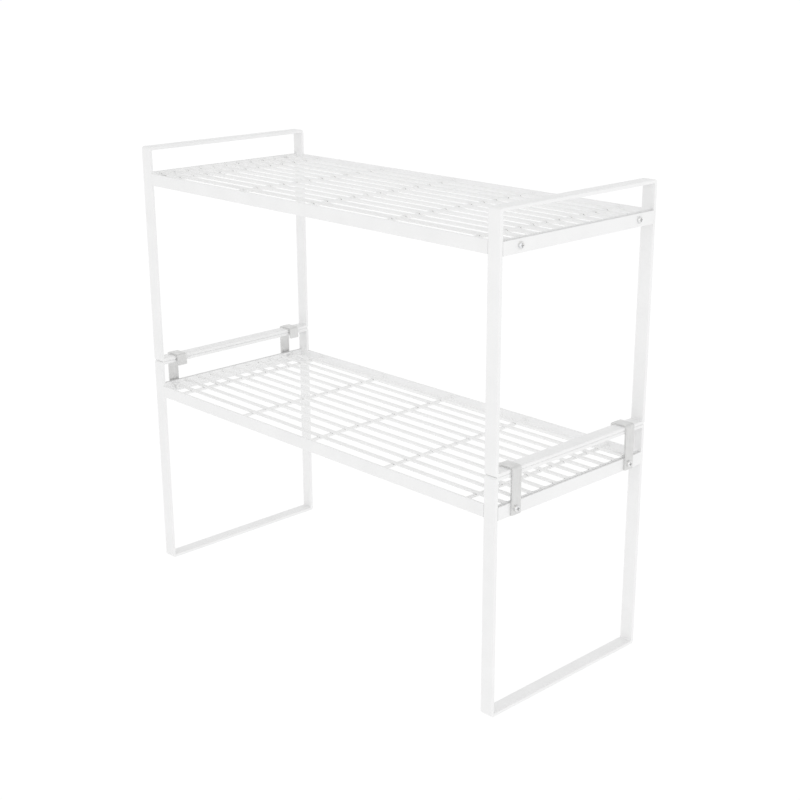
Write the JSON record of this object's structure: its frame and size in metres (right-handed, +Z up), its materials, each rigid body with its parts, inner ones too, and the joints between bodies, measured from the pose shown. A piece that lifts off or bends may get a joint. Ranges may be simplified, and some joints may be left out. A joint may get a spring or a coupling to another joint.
{
  "type": "tiered shelf riser",
  "caption": "Free-standing two-tier kitchen shelf riser: loop end frames of white coated flat steel, wire grid shelves, and hooked steel clips that join the stacked tiers.",
  "frame": {"origin": "on the floor, under the middle of the riser", "axes": "+X left to right along the shelves, +Y front to back, +Z up"},
  "size_m": [0.5448, 0.22, 0.49],
  "materials": {
    "coated_steel": "satin white powder coat on flat steel strip",
    "coated_wire": "satin white powder coat on drawn steel wire",
    "clip_steel": "plain satin stainless sheet",
    "zinc_fastener": "bright zinc plate"
  },
  "bodies": {
    "root": {"clip_left_back": "clip_steel", "clip_left_front": "clip_steel", "clip_right_back": "clip_steel", "clip_right_front": "clip_steel", "lower_back_rail": "coated_steel", "lower_cross_wire_1": "coated_wire", "lower_cross_wire_2": "coated_wire", "lower_cross_wire_3": "coated_wire", "lower_cross_wire_4": "coated_wire", "lower_cross_wire_5": "coated_wire", "lower_front_rail": "coated_steel", "lower_left_crossbar": "coated_steel", "lower_left_end_loop": "coated_steel", "lower_left_end_rail": "coated_steel", "lower_long_wire_01": "coated_wire", "lower_long_wire_02": "coated_wire", "lower_long_wire_03": "coated_wire", "lower_long_wire_04": "coated_wire", "lower_long_wire_05": "coated_wire", "lower_long_wire_06": "coated_wire", "lower_long_wire_07": "coated_wire", "lower_long_wire_08": "coated_wire", "lower_long_wire_09": "coated_wire", "lower_long_wire_10": "coated_wire", "lower_long_wire_11": "coated_wire", "lower_right_crossbar": "coated_steel", "lower_right_end_loop": "coated_steel", "lower_right_end_rail": "coated_steel", "lower_shelf_nuts": "zinc_fastener", "lower_shelf_screws": "zinc_fastener", "upper_back_rail": "coated_steel", "upper_cross_wire_1": "coated_wire", "upper_cross_wire_2": "coated_wire", "upper_cross_wire_3": "coated_wire", "upper_cross_wire_4": "coated_wire", "upper_cross_wire_5": "coated_wire", "upper_front_rail": "coated_steel", "upper_left_crossbar": "coated_steel", "upper_left_end_loop": "coated_steel", "upper_left_end_rail": "coated_steel", "upper_long_wire_01": "coated_wire", "upper_long_wire_02": "coated_wire", "upper_long_wire_03": "coated_wire", "upper_long_wire_04": "coated_wire", "upper_long_wire_05": "coated_wire", "upper_long_wire_06": "coated_wire", "upper_long_wire_07": "coated_wire", "upper_long_wire_08": "coated_wire", "upper_long_wire_09": "coated_wire", "upper_long_wire_10": "coated_wire", "upper_long_wire_11": "coated_wire", "upper_right_crossbar": "coated_steel", "upper_right_end_loop": "coated_steel", "upper_right_end_rail": "coated_steel", "upper_shelf_nuts": "zinc_fastener", "upper_shelf_screws": "zinc_fastener"}
  },
  "joints": []
}
